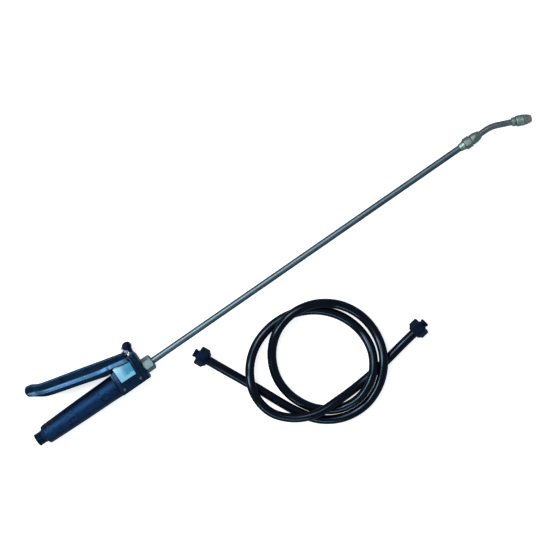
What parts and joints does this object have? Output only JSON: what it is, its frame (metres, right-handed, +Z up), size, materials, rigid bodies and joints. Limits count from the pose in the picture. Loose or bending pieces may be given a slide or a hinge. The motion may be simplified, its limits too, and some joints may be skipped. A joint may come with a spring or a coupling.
{
  "type": "knapsack sprayer lance with hose",
  "caption": "Hand lance of a knapsack sprayer: trigger handle with a shut-off valve, straight steel tube, bent extension, adjustable nozzle, and a loose rubber hose with union nuts",
  "frame": {"origin": "under the middle of the lance's box, on the surface that it lies on", "axes": "+X along the lance from the handle to the nozzle, +Y from the grip towards the trigger lever, +Z up from the surface"},
  "size_m": [0.768, 0.2778, 0.0346],
  "materials": {
    "black_plastic": "satin black moulding",
    "grip_plastic": "satin black with a soft blue sheen",
    "label_foil": "blank light blue foil",
    "steel": "bright zinc-plated",
    "tube_steel": "polished tube",
    "nickel_brass": "satin nickel plate over brass",
    "brass": "turned",
    "seal_rubber": "matte",
    "white_plastic": "fine mesh",
    "hose_rubber": "smooth glossy black"
  },
  "bodies": {
    "handle": {"valve_body": "black_plastic", "cheek_cover_upper": "black_plastic", "cheek_cover_lower": "black_plastic", "label_plate": "label_foil", "cover_screw_upper_1": "steel", "cover_screw_upper_2": "steel", "cover_screw_lower_1": "steel", "cover_screw_lower_2": "steel", "grip": "grip_plastic", "inlet_strainer": "white_plastic", "strainer_seal": "seal_rubber", "valve_seat": "brass", "gland_nut": "brass", "gland_seal": "seal_rubber", "spring_cap": "brass", "lance_tube": "tube_steel", "lance_nut": "nickel_brass", "lance_olive": "brass", "end_collar": "nickel_brass", "coupling_nut": "nickel_brass", "coupling_seal": "seal_rubber"},
    "lever": {"lever": "black_plastic", "lever_strap": "steel", "strap_rivet_1": "steel", "strap_rivet_2": "steel", "pivot_pin": "steel", "pin_cap_upper": "black_plastic", "pin_cap_lower": "black_plastic"},
    "plunger": {"valve_plunger": "brass", "poppet_washer": "seal_rubber", "return_spring": "steel"},
    "extension": {"coupling_body": "nickel_brass", "bent_tube": "tube_steel", "nozzle_body": "nickel_brass", "swirl_core": "brass"},
    "nozzle_thread": {"nozzle_gasket": "seal_rubber"},
    "nozzle": {"nozzle_cap": "nickel_brass", "orifice_tip": "brass"},
    "hose": {"hose": "hose_rubber", "hose_tail_a": "black_plastic", "hose_tail_b": "black_plastic", "tail_washer_a": "seal_rubber", "tail_washer_b": "seal_rubber"},
    "union_a": {"union_nut_a": "black_plastic"},
    "union_b": {"union_nut_b": "black_plastic"}
  },
  "joints": [
    {"name": "lever_squeeze", "type": "hinge", "parent": "handle", "child": "lever", "pos_m": [-0.21856, 0.01419, 0.0173], "axis": [0, 0, 1], "range_deg": [0, 12], "stiffness_Nm_per_rad": 4, "springref_deg": -5.73},
    {"name": "plunger_travel", "type": "slide", "parent": "handle", "child": "plunger", "axis": [0, -1, 0], "range_m": [0, 0.0038]},
    {"name": "extension_swivel", "type": "hinge", "parent": "handle", "child": "extension", "pos_m": [0.30174, -0.02081, 0.0173], "axis": [1, 0, 0], "continuous": true},
    {"name": "nozzle_advance", "type": "slide", "parent": "extension", "child": "nozzle_thread", "axis": [0.9205, -0.3907, 0], "range_m": [0, 0.0015]},
    {"name": "nozzle_turn", "type": "hinge", "parent": "nozzle_thread", "child": "nozzle", "pos_m": [0.36038, -0.03235, 0.0173], "axis": [0.9205, -0.3907, 0], "range_deg": [0, 360]},
    {"name": "hose_lift", "type": "slide", "parent": "handle", "child": "hose", "axis": [0, 0, 1], "range_m": [0, 0.1]},
    {"name": "union_a_spin", "type": "hinge", "parent": "hose", "child": "union_a", "pos_m": [-0.1438, -0.059, 0.011], "axis": [-0.4258, 0.9048, 0], "continuous": true},
    {"name": "union_b_spin", "type": "hinge", "parent": "hose", "child": "union_b", "pos_m": [0.1006, -0.1846, 0.011], "axis": [0.9867, 0.1628, 0], "continuous": true}
  ],
  "couplings": [
    {"joint": "plunger_travel", "follows": "lever_squeeze", "m_per_rad": 0.01814},
    {"joint": "nozzle_advance", "follows": "nozzle_turn", "m_per_rad": 0.00023873}
  ]
}
